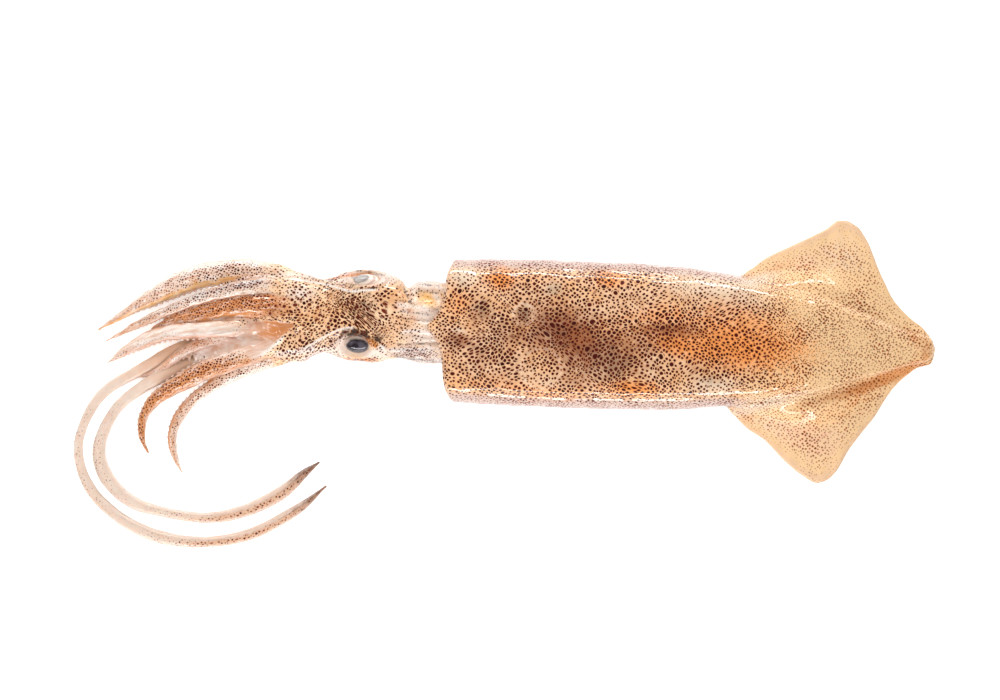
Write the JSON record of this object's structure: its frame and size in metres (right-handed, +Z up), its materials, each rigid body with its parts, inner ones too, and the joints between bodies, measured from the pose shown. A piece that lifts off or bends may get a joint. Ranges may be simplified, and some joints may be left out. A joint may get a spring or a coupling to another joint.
{
  "type": "whole raw squid",
  "caption": "Raw squid lying belly down: a tube-shaped mantle with a pair of tail fins, a head with large eyes, and a crown of arms and long curled tentacles.",
  "frame": {"origin": "middle of the flat patch that the belly rests on, halfway along the mantle", "axes": "+X runs along the mantle from the head to the tail, +Y to the squid's own right side, +Z up out of its back"},
  "size_m": [0.2536, 0.1048, 0.022],
  "materials": {
    "mantle_skin": "wet skin, orange-brown on pale flesh, densely speckled with dark brown pigment dots",
    "head_skin": "wet skin, pale flesh with orange-brown tints and sparser dark dots",
    "eye": "wet and clear over a dark pupil and a silvery ring"
  },
  "bodies": {
    "root": {"mantle": "mantle_skin", "head_and_arms": "head_skin", "eye_left": "eye", "eye_right": "eye"}
  },
  "joints": []
}
